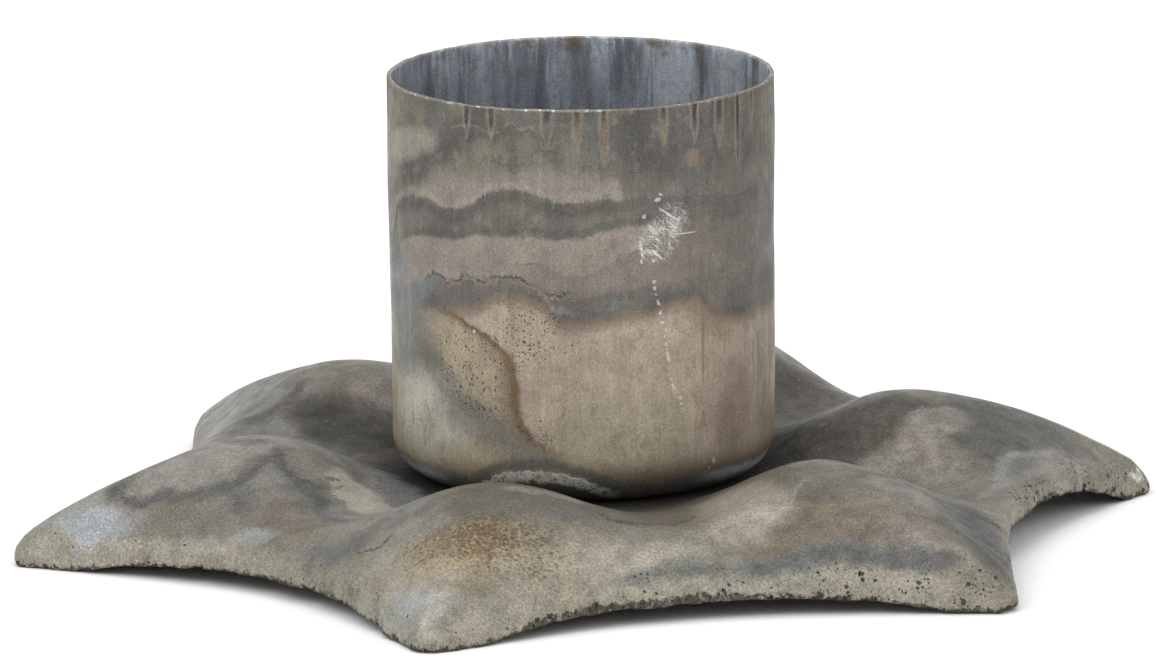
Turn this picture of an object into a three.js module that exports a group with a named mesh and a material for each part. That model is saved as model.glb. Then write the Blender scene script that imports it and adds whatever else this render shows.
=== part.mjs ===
import * as THREE from 'three';

// A taper candle holder: a drawn metal cup riveted into the dish of a six-pointed, puffed star plate.
// Millimetres, +Z up. The origin is on the table under the cup's axis, and +X runs along one of the points.

// The candle and its cup
const candleDiameter = 22;
const candleEase = 0.7; // gap between the candle and the cup, all round
const cupWall = 0.3;
const cupHeight = 25;
const cupCorner = 2.7; // outside radius between the cup's wall and its floor
const cupDraft = 0.15; // how much slimmer the wall is at its foot than at its rim

// The rivet that holds the two together, and the washer under the star
const shankRadius = 2;
const holeEase = 0.15; // gap between the shank and each hole, all round
const headOverhang = 2;
const headHeight = 0.8;
const headRound = 0.3;
const washerOverhang = 2.5;
const washerThickness = 0.5;
const tailOverhang = 1.2;
const tailHeight = 0.9;
const tailRound = 0.4;
const tableGap = 0.95; // air between the rivet's tail and the table

// The star plate
const sheet = 1.45; // thickness of the star
const edgeRound = 0.35; // rounding of the star's upper edge
const dishMargin = 0.85; // flat floor of the dish beyond the cup's flat floor
const dishRun = 10.1; // from the dish's floor out to the crests round it
const pointRun = 16.1; // from a crest out to its tip
const saddleSetback = 3.1; // how much farther out a valley's high spot is than a crest
const notchRun = 4.1; // from a valley's high spot out to its notch
const edgeBow = 1; // how far an edge bends in between a tip and a notch
const tipCut = 0.7; // how much of each sharp tip is cut off square
const toeDepth = 1.5; // extra thickness under each tip, so that it stands on a flat toe
const crestRise = 3.5; // a dome's crest over the dish
const saddleRise = 0.8; // a valley's high spot over the dish
const notchLift = 1; // a notch's underside over the table
const tipLift = 0.15; // the underside of a tip that stands clear of the table
const notchSpread = 0.5; // how far a notch may lie outside or inside the common notch radius

// Curves of the puffed form
const crestFullness = 0.86; // under 1 makes the domes broad, over 1 makes them narrow
const fallPower = 1.86; // how late a dome bends down to its tip
const flangeShare = 0.36; // how much of a flat lip lies at the foot of a dome's sides
const ringFullness = 1.1; // under 1 makes the domes broad in plan, over 1 makes them narrow
const toeOnset = 6; // how close to the tip the toe's extra thickness stays, along a point's middle
const toeNarrowing = 4; // and how soon it fades along the edges

// The points are beaten by hand, so each has its own shares of those sizes, anticlockwise from +X,
// and its own turn from an even place, in degrees
const points = [
  { rise: 1, lift: 0, turn: 0 },
  { rise: 1.37, lift: 0, turn: -5 },
  { rise: 1, lift: 0, turn: -2.3 },
  { rise: 0.86, lift: 0, turn: 0 },
  { rise: 0.93, lift: 0, turn: 0 },
  { rise: 0.93, lift: 1, turn: 1.4 },
];

// The valley that follows each point has its own shares too
const valleys = [
  { rise: 0.8, lift: 1.9, spread: 1 },
  { rise: 1, lift: 1, spread: 0 },
  { rise: 1, lift: 0.55, spread: 0 },
  { rise: 0.25, lift: 0.9, spread: -1.1 },
  { rise: 1.6, lift: 0.95, spread: 0.5 },
  { rise: -1.1, lift: 2.05, spread: 1.9 },
];

// Facets
const cupSides = 72;
const rivetSides = 32;
const cornerSteps = 6;
const columnsPerPoint = 16;
const tipCrowding = 0.7; // how strongly the star's columns crowd towards the tips
const ringShares = [0.08, 0.18, 0.28, 0.38, 0.48, 0.58, 0.68, 0.78, 0.87, 0.95];

// Sizes that follow from those above
const rimRadius = candleDiameter / 2 + candleEase + cupWall;
const footRadius = rimRadius - cupDraft;
const holeRadius = shankRadius + holeEase;
const dishRadius = footRadius - cupCorner + dishMargin;
const crestRadius = dishRadius + dishRun;
const tipRadius = crestRadius + pointRun;
const notchRadius = crestRadius + saddleSetback + notchRun;
const dishHeight = tableGap + tailHeight + washerThickness + sheet;
const floorTop = dishHeight + cupWall;
const pointStep = (2 * Math.PI) / points.length;

const v2 = (x, y) => new THREE.Vector2(x, y);

// Points of a circular arc from one angle to another, both ends included
function arc(centreX, centreY, radius, from, to, steps) {
  return Array.from({ length: steps + 1 }, (_, step) => {
    const angle = from + ((to - from) * step) / steps;
    return v2(centreX + radius * Math.cos(angle), centreY + radius * Math.sin(angle));
  });
}

// A turned solid standing on +Z; the profile holds radius and height, anticlockwise
function turned(profile, sides) {
  return new THREE.LatheGeometry(profile, sides).rotateX(Math.PI / 2);
}

function piece(name, geometry, color, roughness, metalness) {
  const mesh = new THREE.Mesh(geometry, new THREE.MeshStandardMaterial({ color, roughness, metalness }));
  mesh.name = name;
  return mesh;
}

// The cup: floor, rounded corner and wall, drawn in one piece from thin sheet
function candleCup() {
  const cornerCentre = dishHeight + cupCorner;
  const cornerRadius = footRadius - cupCorner;
  const profile = [
    v2(holeRadius, dishHeight),
    ...arc(cornerRadius, cornerCentre, cupCorner, -Math.PI / 2, 0, cornerSteps),
    v2(rimRadius, dishHeight + cupHeight),
    v2(rimRadius - cupWall, dishHeight + cupHeight),
    ...arc(cornerRadius, cornerCentre, cupCorner - cupWall, 0, -Math.PI / 2, cornerSteps),
    v2(holeRadius, floorTop),
    v2(holeRadius, dishHeight),
  ];
  return turned(profile, cupSides);
}

// The rivet: a flat head on the cup's floor, a shank through both pieces and a clinched tail under the washer
function centreRivet() {
  const headRadius = shankRadius + headOverhang;
  const tailRadius = shankRadius + tailOverhang;
  const headTop = floorTop + headHeight;
  const tailTop = tableGap + tailHeight;
  const profile = [
    v2(0, tableGap),
    ...arc(tailRadius - tailRound, tableGap + tailRound, tailRound, -Math.PI / 2, 0, cornerSteps),
    v2(tailRadius, tailTop),
    v2(shankRadius, tailTop),
    v2(shankRadius, floorTop),
    v2(headRadius, floorTop),
    ...arc(headRadius - headRound, headTop - headRound, headRound, 0, Math.PI / 2, cornerSteps),
    v2(0, headTop),
  ];
  return turned(profile, rivetSides);
}

function rivetWasher() {
  const washerRadius = shankRadius + washerOverhang;
  const low = tableGap + tailHeight;
  const high = low + washerThickness;
  const profile = [
    v2(holeRadius, low),
    v2(washerRadius, low),
    v2(washerRadius, high),
    v2(holeRadius, high),
    v2(holeRadius, low),
  ];
  return turned(profile, rivetSides);
}

const mix = (a, b, share) => a + (b - a) * share;
const between = (value, from, to) => THREE.MathUtils.clamp((value - from) / (to - from), 0, 1);
const ease = (share) => (1 - Math.cos(Math.PI * share)) / 2;

// One upright section of the star: the closed loop of its sheet at one heading from the axis
function starSection(heading) {
  const nearest = Math.round(heading / pointStep);
  const point = points[nearest % points.length];
  const valley = valleys[Math.floor(heading / pointStep) % points.length];
  const aside = Math.abs(heading - nearest * pointStep);
  const wave = Math.cos((aside * Math.PI) / pointStep) ** 2;
  const onCrest = wave ** crestFullness;

  // The outline: a straight edge from tip to notch, bowed in a little, with the tip cut square
  const notch = notchRadius + notchSpread * valley.spread;
  const sharpTip = tipRadius + tipCut;
  const toTip = sharpTip * Math.sin(aside);
  const toNotch = notch * Math.sin(pointStep / 2 - aside);
  const straight = (sharpTip * notch * Math.sin(pointStep / 2)) / (toTip + toNotch);
  const bowed = straight - edgeBow * Math.sin((2 * Math.PI * aside) / pointStep);
  const edge = Math.min(bowed, tipRadius / Math.cos(aside));
  const alongEdge = ease(between(edge, tipRadius, notch));

  // Shares run from 0 at the dish to 1 at the edge: round waves inside, the sharp outline at the edge
  const waveEdge = mix(notch, tipRadius, wave ** ringFullness);
  const radiusAt = (share) => mix(dishRadius, mix(waveEdge, edge, share * share), share);

  // The upper face: a climb from the dish to the crest or saddle round it, then the fall to the edge
  const crest = crestRadius + saddleSetback * (1 - onCrest);
  const crestShare = (crest - dishRadius) / (waveEdge - dishRadius);
  const crestHeight = dishHeight + mix(saddleRise * valley.rise, crestRise * point.rise, onCrest);
  const toeHeight = tipLift * point.lift;
  const edgeHeight = sheet + mix(toeHeight, notchLift * valley.lift, alongEdge);
  const lip = flangeShare * (1 - (1 - alongEdge) ** 2);
  const topAt = (share) => {
    if (share < crestShare) {
      return mix(dishHeight, crestHeight, ease(share / crestShare));
    }
    const fall = 1 - between(share, crestShare, 1) ** fallPower;
    return mix(edgeHeight, crestHeight, mix(fall, fall * fall, lip));
  };
  const onToe = (share) => share ** toeOnset * (1 - alongEdge) ** toeNarrowing;
  const underAt = (share) => Math.max(toeHeight, topAt(share) - sheet - toeDepth * onToe(share));

  const roundShare = 1 - edgeRound / (edge - dishRadius);
  const under = [0, ...ringShares, 1].map((share) => v2(radiusAt(share), underAt(share)));
  const top = [0, ...ringShares, roundShare].map((share) => v2(radiusAt(share), topAt(share)));
  const shoulder = v2(edge, edgeHeight - edgeRound);
  const holeLow = v2(holeRadius, dishHeight - sheet);
  const holeHigh = v2(holeRadius, dishHeight);
  const loop = [holeLow, ...under, shoulder, ...top.reverse(), holeHigh, holeLow];

  const facing = heading + THREE.MathUtils.degToRad(point.turn) * onCrest;
  return loop.map(({ x, y }) => new THREE.Vector3(x * Math.cos(facing), x * Math.sin(facing), y));
}

// The star: a ring turned once round the axis, with each of its sections shaped by its heading
function starBase() {
  const columns = points.length * columnsPerPoint;
  const sections = Array.from({ length: columns }, (_, column) => {
    const even = (column / columns) * 2 * Math.PI;
    const pull = (tipCrowding * Math.sin(points.length * even)) / points.length;
    return starSection(even - pull);
  });
  const plainLoop = sections[0].map(({ x, z }) => v2(x, z));
  const geometry = new THREE.LatheGeometry(plainLoop, columns);
  const position = geometry.getAttribute('position');
  for (let vertex = 0; vertex < position.count; vertex += 1) {
    const column = Math.floor(vertex / plainLoop.length) % columns;
    const { x, y, z } = sections[column][vertex % plainLoop.length];
    position.setXYZ(vertex, x, y, z);
  }
  geometry.computeVertexNormals();
  return geometry;
}

const holder = new THREE.Group();
holder.name = 'taper_candle_holder';
holder.add(piece('star_base', starBase(), 0x6b665d, 0.55, 0.8));
holder.add(piece('candle_cup', candleCup(), 0x7a756b, 0.45, 0.85));
holder.add(piece('centre_rivet', centreRivet(), 0x77746e, 0.45, 0.85));
holder.add(piece('rivet_washer', rivetWasher(), 0x77746e, 0.5, 0.85));

export default holder;
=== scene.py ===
# A taper candle holder: a thin drawn cup riveted into a puffed six-pointed star, all in aged grey metal.
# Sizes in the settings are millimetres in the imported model's frame, +Z up; the meshes are made in metres.
import math
from types import SimpleNamespace

import bmesh
import bpy
from mathutils import Matrix, Vector, kdtree, noise


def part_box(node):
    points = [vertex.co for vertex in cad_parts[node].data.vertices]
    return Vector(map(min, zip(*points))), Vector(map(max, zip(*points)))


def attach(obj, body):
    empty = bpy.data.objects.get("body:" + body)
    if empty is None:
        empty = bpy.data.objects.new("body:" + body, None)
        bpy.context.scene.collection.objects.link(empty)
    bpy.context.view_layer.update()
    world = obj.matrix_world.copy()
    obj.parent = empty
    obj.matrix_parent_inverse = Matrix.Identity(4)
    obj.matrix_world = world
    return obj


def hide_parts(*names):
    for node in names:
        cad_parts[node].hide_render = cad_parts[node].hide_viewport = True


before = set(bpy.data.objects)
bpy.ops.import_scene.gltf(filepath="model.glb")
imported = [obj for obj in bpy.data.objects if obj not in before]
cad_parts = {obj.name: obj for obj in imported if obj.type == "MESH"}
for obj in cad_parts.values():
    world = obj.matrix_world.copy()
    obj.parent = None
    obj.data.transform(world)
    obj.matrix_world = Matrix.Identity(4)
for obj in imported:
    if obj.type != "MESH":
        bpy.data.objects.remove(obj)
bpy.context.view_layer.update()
mm = 0.001
print("frame loaded:", ", ".join(sorted(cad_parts)))


def mix(start, end, share):
    return start + (end - start) * share


def between(value, low, high):
    return min(max((value - low) / (high - low), 0), 1)


def ease(share):
    return (1 - math.cos(math.pi * share)) / 2


def tone(red, green, blue):  # a screen colour, 0 to 255, as the linear colour that a shader takes
    shares = [part / 255 for part in (red, green, blue)]
    linear = [part / 12.92 if part < 0.04045 else ((part + 0.055) / 1.055) ** 2.4 for part in shares]
    return (*linear, 1)


# Camera, where the photograph was taken from

cameraPlace = {
    "away": 1275.4,  # from the cup's axis, level
    "height": 280.6,
    "heading": -14.311,  # degrees round the axis from straight in front
    "tilt": 11.882,  # degrees down
    "roll": -0.598,
    "lens": 649.8,
    "sensor": 36,
    "clip": (0.1, 20),  # metres, near and far
}


def placeCamera():
    heading = math.radians(cameraPlace["heading"])
    data = bpy.data.cameras.new("camera")
    data.lens = cameraPlace["lens"]
    data.sensor_width = cameraPlace["sensor"]
    data.clip_start, data.clip_end = cameraPlace["clip"]
    camera = bpy.data.objects.new("camera", data)
    stand = Matrix.Translation((0, -cameraPlace["away"] * mm, cameraPlace["height"] * mm))
    tilt = Matrix.Rotation(math.radians(90 - cameraPlace["tilt"]), 4, "X")
    roll = Matrix.Rotation(math.radians(cameraPlace["roll"]), 4, "Z")
    camera.matrix_world = Matrix.Rotation(heading, 4, "Z") @ stand @ tilt @ roll
    bpy.context.scene.collection.objects.link(camera)
    bpy.context.scene.camera = camera


placeCamera()
print("camera placed")


# Shader maths: a wire is one socket, and sums of wires add Math nodes

class Wire:
    def __init__(self, tree, socket=None):
        self.tree = tree
        self.socket = socket

    def node(self, kind, settings=None, sockets=None, output=0):
        made = self.tree.nodes.new(kind)
        for name, value in (settings or {}).items():
            if name == "points":
                drawCurve(made.mapping, value)
            else:
                setattr(made, name, value)
        for name, value in (sockets or {}).items():
            if isinstance(value, Wire):
                self.tree.links.new(value.socket, made.inputs[name])
            else:
                made.inputs[name].default_value = value
        return Wire(self.tree, made.outputs[output] if made.outputs else None)

    def other(self, output):  # another output of the same node
        return Wire(self.tree, self.socket.node.outputs[output])

    def math(self, operation, *values):
        return self.node("ShaderNodeMath", {"operation": operation}, dict(enumerate(values)))

    def __add__(self, other):
        return self.math("ADD", self, other)

    def __sub__(self, other):
        return self.math("SUBTRACT", self, other)

    def __rsub__(self, other):
        return self.math("SUBTRACT", other, self)

    def __mul__(self, other):
        return self.math("MULTIPLY", self, other)

    def __abs__(self):
        return self.math("ABSOLUTE", self)

    __radd__ = __add__
    __rmul__ = __mul__


def drawCurve(mapping, points):
    curve = mapping.curves[0]
    for _ in points[2:]:
        curve.points.new(0.5, 0.5)
    for knot, place in zip(curve.points, points):
        knot.location = place
    mapping.extend = "HORIZONTAL"
    mapping.update()


def fade(value, start, end, most=1):  # 0 at start, most at end, soft between
    ends = {"Value": value, "From Min": start, "From Max": end, "To Max": most}
    return value.node("ShaderNodeMapRange", {"interpolation_type": "SMOOTHSTEP"}, ends)


def lumps(place, size, detail=2, rough=0.5):  # cloudy noise about 0.5, with lumps of about that many mm
    return place.node("ShaderNodeTexNoise", sockets={
        "Vector": place, "Scale": 1 / size, "Detail": detail, "Roughness": rough})


def scatter(place, spacing, share):  # small holes of uneven size, more and larger where the share is high
    cells = place.node("ShaderNodeTexVoronoi", sockets={"Vector": place, "Scale": 1 / spacing})
    chance = place.node("ShaderNodeSeparateColor", sockets={"Color": cells.other("Color")})
    ragged = lumps(place, spacing * 0.5) - 0.5
    return fade(cells + ragged * 0.5 - (chance + share - 1) * 0.7, 0.08, -0.04)


def squeezed(place, shares):  # the same place with each axis drawn out or in
    return place.node("ShaderNodeMapping", sockets={"Vector": place, "Scale": shares})


def wander(place, size, amount):  # two noises about 0, to push outlines about by up to that many mm
    push = place.node("ShaderNodeTexNoise", sockets={
        "Vector": place, "Scale": 1 / size, "Detail": 3}, output="Color")
    parts = place.node("ShaderNodeSeparateColor", sockets={"Color": push})
    return (parts - 0.5) * (2 * amount), (parts.other("Green") - 0.5) * (2 * amount)


def tilted(chart, centre, turn, size):  # distance from a centre along a tilted axis, in units of a size
    across, up = chart
    east, north = math.cos(turn) / size, math.sin(turn) / size
    start = -(centre[0] * east + centre[1] * north)
    return across.math("MULTIPLY_ADD", across, east, up.math("MULTIPLY_ADD", up, north, start))


def spot(chart, centre, size, turn=0, soft=0.5, most=1):  # an oval patch on two coordinates, 0 outside
    length = tilted(chart, centre, math.radians(turn), size[0])
    width = tilted(chart, centre, math.radians(turn + 90), size[1])
    away = length.math("MULTIPLY_ADD", length, length, width * width)
    return fade(away, (1 + soft) ** 2, (1 - soft) ** 2, most)


def drawnLine(along, points):  # how high a drawn line runs at each place along it
    first, last = points[0][0], points[-1][0]
    low = min(height for _, height in points)
    span = max(height for _, height in points) - low
    knots = [((place - first) / (last - first), (height - low) / span) for place, height in points]
    share = along.math("MULTIPLY_ADD", along, 1 / (last - first), -first / (last - first))
    curve = share.node("ShaderNodeFloatCurve", {"points": knots}, {"Value": share})
    return curve.math("MULTIPLY_ADD", curve, span, low)


def stroke(chart, line, width, soft, most=1):  # a brush stroke along a line of places, 0 outside
    across, up = chart
    if abs(line[-1][0] - line[0][0]) < abs(line[-1][1] - line[0][1]):
        across, up = up, across
        line = [(y, x) for x, y in line]
    line = sorted(line)
    middle, half = (line[0][0] + line[-1][0]) / 2, (line[-1][0] - line[0][0]) / 2
    aside = abs(up - drawnLine(across, line))
    ends = fade(abs(across - middle), half + width, half - width, most)
    return fade(aside, width * (1 + soft), width * (1 - soft)) * ends


def paint(base, colour, mask):
    return mask.node("ShaderNodeMix", {"data_type": "RGBA"}, {0: mask, 6: base, 7: colour}, output=2)


def paintLayers(colour, tint, layers):  # paints named colours over one another, each through its own mask
    for name, mask in layers:
        colour = paint(colour, tint[name], mask)
    return colour


def spotLayers(chart, rows):  # each row: colour, centre, half sizes, turn in degrees, softness, strength
    for name, *oval in rows:
        yield name, spot(chart, *oval)


def strokeLayers(chart, rows):  # each row: colour, line of places, half width, softness, strength
    for name, *line in rows:
        yield name, stroke(chart, *line)


def shade(base, mask, dark, light):  # darkens or lightens the base between two shares of its own colour
    grey = paint((dark, dark, dark, 1), (light, light, light, 1), mask)
    settings = {"data_type": "RGBA", "blend_type": "MULTIPLY"}
    return mask.node("ShaderNodeMix", settings, {0: 1, 6: base, 7: grey}, output=2)


def mixValue(start, end, share):
    return share * (end - start) + start


def startMaterial(name):
    material = bpy.data.materials.new(name)
    material.use_nodes = True
    material.node_tree.nodes.clear()
    return material, Wire(material.node_tree)


def millimetres(bench):  # the piece's own coordinates in mm
    place = bench.node("ShaderNodeTexCoord", output="Object")
    return squeezed(place, (1 / mm,) * 3)


def finishMaterial(bench, colour, roughness, relief, depth, settings):
    bump = bench.node("ShaderNodeBump", sockets={"Height": relief, "Distance": depth * mm, "Strength": 1})
    sockets = {"Base Color": colour, "Roughness": roughness, "Normal": bump, **settings}
    shader = bench.node("ShaderNodeBsdfPrincipled", sockets=sockets)
    bench.node("ShaderNodeOutputMaterial", sockets={"Surface": shader})


# Mesh helpers

def spinProfile(bm, steps, cuts=0):  # turns the profile in the XZ plane once round the axis
    weldGap = 1e-4
    sameHeading = 1e-3  # edges under this run up the profile, not round the axis
    plainRadius = bm.verts.layers.float.new("plainRadius")
    for vert in bm.verts:
        vert[plainRadius] = vert.co.x
    bmesh.ops.spin(
        bm, geom=bm.verts[:] + bm.edges[:], cent=(0, 0, 0), axis=(0, 0, 1), angle=2 * math.pi,
        steps=steps, use_merge=True)
    bmesh.ops.remove_doubles(bm, verts=bm.verts, dist=weldGap)
    bmesh.ops.recalc_face_normals(bm, faces=bm.faces)
    if cuts:  # finer columns, put back on their circles
        ends = [(edge, edge.verts[0].co.xy, edge.verts[1].co.xy) for edge in bm.edges]
        rings = [edge for edge, start, end in ends if abs(start.cross(end)) > sameHeading]
        bmesh.ops.subdivide_edges(bm, edges=rings, cuts=cuts, use_grid_fill=True)
        for vert in bm.verts:
            vert.co.xy *= vert[plainRadius] / vert.co.xy.length


def corner(centreX, centreZ, radius, start, end, steps):  # an arc of profile points, angles in degrees
    angles = [math.radians(mix(start, end, step / steps)) for step in range(steps + 1)]
    return [(centreX + radius * math.cos(angle), centreZ + radius * math.sin(angle)) for angle in angles]


def drawProfile(bm, points, closed):
    verts = [bm.verts.new((x, 0, z)) for x, z in points]
    pairs = list(zip(verts, verts[1:]))
    if closed:
        pairs.append((verts[-1], verts[0]))
    return [bm.edges.new(pair) for pair in pairs]


def subdivideLong(bm, edges, longest):  # cuts the straight runs of a profile into short steps
    for edge in edges:
        cuts = int(edge.calc_length() / longest)
        if cuts:
            bmesh.ops.subdivide_edges(bm, edges=[edge], cuts=cuts)


def finishPiece(bm, name, node, material):
    for face in bm.faces:
        face.smooth = True
    bmesh.ops.scale(bm, vec=(mm, mm, mm), verts=bm.verts)
    mesh = bpy.data.meshes.new(name)
    bm.to_mesh(mesh)
    bm.free()
    mesh.materials.append(material)
    piece = bpy.data.objects.new(name, mesh)
    bpy.context.scene.collection.objects.link(piece)
    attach(piece, "root")
    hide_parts(node)
    print(name, "made with", len(mesh.polygons), "faces")


# The star plate

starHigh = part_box("star_base")[1] / mm
cupLow, cupHigh = (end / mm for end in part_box("candle_cup"))

starShape = {
    "sheet": 1.45,
    "holeRadius": 2.15,
    "dishRadius": 10,
    "crestRadius": 20.1,
    "tipRadius": starHigh.x,
    "notchRadius": 27.3,
    "saddleSetback": 3.1,
    "edgeBow": 1,
    "tipCut": 0.7,
    "toeDepth": 0.6,
    "dishHeight": cupLow.z,
    "crestRise": 3.5,
    "saddleRise": 0.8,
    "notchLift": 1,
    "tipLift": 0.15,
    "notchSpread": 0.5,
    "crestFullness": 0.86,
    "fallPower": 1.86,
    "flangeShare": 0.36,
    "ringFullness": 1.1,
    "toeOnset": 6,
    "toeNarrowing": 4,
    "plainRadius": 31,  # the round plate that is drawn out into the star
    "upperRound": 1,  # rounding of its upper and lower edges
    "lowerRound": 0.3,
    "ringStep": 0.34,
    "underStep": 1.1,
    "columns": 672,
    "columnCuts": 8,
    "tipCrowding": 0.35,
    # each point's rise, lift and turn in degrees, anticlockwise from +X
    "points": [(1, 0, 0), (1.37, 0, -5), (1, 0, -2.3), (0.86, 0, 0), (0.93, 0, 0), (0.93, 1, 1.4)],
    # the rise, lift and spread of the valley after each point
    "valleys": [
        (0.8, 1.9, 1), (1, 1, 0), (1, 0.55, 0), (0.25, 0.9, -1.1), (1.6, 0.95, 0.5), (-1.1, 2.05, 1.9)],
    # hand-beaten unevenness: size across and depth
    "beaten": [(7, 0.16), (2.4, 0.05)],
    "beatenOnset": 4,  # how far out from the dish it has its full depth
    "ragged": [(1.5, 0.14), (0.6, 0.1)],
    "raggedReach": 1.3,  # how far in from the edge it is rough
    "chips": (0.8, 0.25, 0.6),  # size of the chips out of the edge, how rare they are, and how deep
}


def starSection(heading):  # one upright section of the star: where a plain radius and level end up
    shape = starShape
    step = 2 * math.pi / len(shape["points"])
    nearest = round(heading / step)
    rise, lift, turn = shape["points"][nearest % len(shape["points"])]
    valleyRise, valleyLift, spread = shape["valleys"][int(heading / step) % len(shape["valleys"])]
    aside = abs(heading - nearest * step)
    wave = math.cos(aside * math.pi / step) ** 2
    onCrest = wave ** shape["crestFullness"]

    # outline: straight from tip to notch, bowed in a little, the tip cut square
    notch = shape["notchRadius"] + shape["notchSpread"] * spread
    sharpTip = shape["tipRadius"] + shape["tipCut"]
    across = sharpTip * math.sin(aside) + notch * math.sin(step / 2 - aside)
    straight = sharpTip * notch * math.sin(step / 2) / across
    bowed = straight - shape["edgeBow"] * math.sin(2 * math.pi * aside / step)
    edge = min(bowed, shape["tipRadius"] / math.cos(aside))
    alongEdge = ease(between(edge, shape["tipRadius"], notch))
    waveEdge = mix(notch, shape["tipRadius"], wave ** shape["ringFullness"])

    crest = shape["crestRadius"] + shape["saddleSetback"] * (1 - onCrest)
    crestShare = (crest - shape["dishRadius"]) / (waveEdge - shape["dishRadius"])
    crestRise = mix(shape["saddleRise"] * valleyRise, shape["crestRise"] * rise, onCrest)
    crestHeight = shape["dishHeight"] + crestRise
    toeHeight = shape["tipLift"] * lift
    edgeHeight = shape["sheet"] + mix(toeHeight, shape["notchLift"] * valleyLift, alongEdge)
    lip = shape["flangeShare"] * (1 - (1 - alongEdge) ** 2)
    facing = heading + math.radians(turn) * onCrest

    def topAt(share):
        if share < crestShare:
            return mix(shape["dishHeight"], crestHeight, ease(share / crestShare))
        fall = 1 - between(share, crestShare, 1) ** shape["fallPower"]
        return mix(edgeHeight, crestHeight, mix(fall, fall * fall, lip))

    def place(plainRadius, level):
        share = max((plainRadius - shape["dishRadius"]) / (shape["plainRadius"] - shape["dishRadius"]), 0)
        outer = mix(waveEdge, edge, share * share)
        radius = mix(shape["dishRadius"], outer, share) if share else plainRadius
        top = topAt(share)
        toe = shape["toeDepth"] * share ** shape["toeOnset"] * (1 - alongEdge) ** shape["toeNarrowing"]
        under = max(toeHeight, top - shape["sheet"] - toe)
        return Vector((radius * math.cos(facing), radius * math.sin(facing), mix(under, top, level)))

    return place


def starProfile(bm):  # a plain round plate with a hole: the star before it is drawn out
    shape = starShape
    hole, dish, rim, sheet = (shape[name] for name in ("holeRadius", "dishRadius", "plainRadius", "sheet"))
    low, high = shape["lowerRound"], shape["upperRound"]
    points = [(hole, 0), (dish, 0)]
    points += corner(rim - low, low, low, -90, 0, 4)
    points += corner(rim - high, sheet - high, high, 0, 90, 6)
    points += [(dish, sheet), (hole, sheet)]
    edges = drawProfile(bm, points, closed=True)
    subdivideLong(bm, edges[1:2], shape["underStep"])
    subdivideLong(bm, edges[:1] + edges[2:], shape["ringStep"])


def makeStar(material):
    shape = starShape
    bm = bmesh.new()
    starProfile(bm)
    spinProfile(bm, shape["columns"] // shape["columnCuts"], shape["columnCuts"] - 1)
    edgeRoom = bm.verts.layers.float.new("edgeRoom")  # mm from the star's outline
    topSide = bm.verts.layers.float.new("topSide")  # 1 on the upper face, 0 on the lower

    sections = []
    count = len(shape["points"])
    outline = kdtree.KDTree(shape["columns"])
    for column in range(shape["columns"]):
        even = 2 * math.pi * column / shape["columns"]
        section = starSection(even - shape["tipCrowding"] * math.sin(count * even) / count)
        rim = section(shape["plainRadius"], 0.5)
        outline.insert((rim.x, rim.y, 0), column)
        sections.append(section)
    outline.balance()

    for vert in bm.verts:
        heading = math.atan2(vert.co.y, vert.co.x) % (2 * math.pi)
        column = round(heading / (2 * math.pi) * shape["columns"]) % shape["columns"]
        level = vert.co.z / shape["sheet"]
        vert.co = sections[column](vert.co.xy.length, level)
        vert[edgeRoom] = outline.find((vert.co.x, vert.co.y, 0))[2]
        vert[topSide] = level
    roughenStar(bm, edgeRoom)
    finishPiece(bm, "star", "star_base", material)


def roughenStar(bm, edgeRoom):  # beaten dents all over, and a ragged, pitted edge
    shape = starShape
    bm.normal_update()
    chipSize, chipRarity, chipDepth = shape["chips"]
    moves = []
    for vert in bm.verts:
        free = between(vert.co.xy.length - shape["dishRadius"], 0, shape["beatenOnset"])
        near = 1 - between(vert[edgeRoom], 0, shape["raggedReach"])
        dent = sum(depth * noise.noise(vert.co / size) for size, depth in shape["beaten"])
        rag = sum(depth * noise.noise(vert.co / size) for size, depth in shape["ragged"])
        chip = max(noise.noise(vert.co / chipSize) - chipRarity, 0) * chipDepth
        inward = Vector((-vert.co.x, -vert.co.y, 0)).normalized()
        moves.append(vert.normal * (free * dent + near * rag) + inward * (near * chip))
    for vert, move in zip(bm.verts, moves):
        vert.co += move
        vert.co.z = max(vert.co.z, 0)


starPaint = {
    "ash": tone(112, 111, 106),
    "slate": tone(84, 83, 81),
    "shale": tone(69, 70, 70),
    "steel": tone(95, 98, 98),
    "mist": tone(122, 123, 124),
    "olive": tone(113, 110, 100),
    "lichen": tone(122, 120, 109),
    "beige": tone(131, 125, 111),
    "sand": tone(148, 143, 129),
    "charcoal": tone(40, 37, 33),
    "dusk": tone(72, 67, 60),
    "moss": tone(82, 81, 76),
    "frost": tone(158, 163, 168),
    "pale": tone(164, 164, 158),
    "brown": tone(110, 92, 68),
    "bark": tone(80, 63, 43),
    "straw": tone(160, 145, 114),
    "rosy": tone(122, 115, 107),
    "blush": tone(142, 136, 129),
    "petal": tone(172, 165, 152),
    "umber": tone(111, 102, 91),
    "walnut": tone(103, 93, 80),
    "glint": tone(216, 214, 206),
    "rust": tone(128, 98, 74),
    "pore": tone(44, 39, 34),
    "crumb": tone(178, 172, 157),
    "under": tone(70, 64, 58),
}

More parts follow.
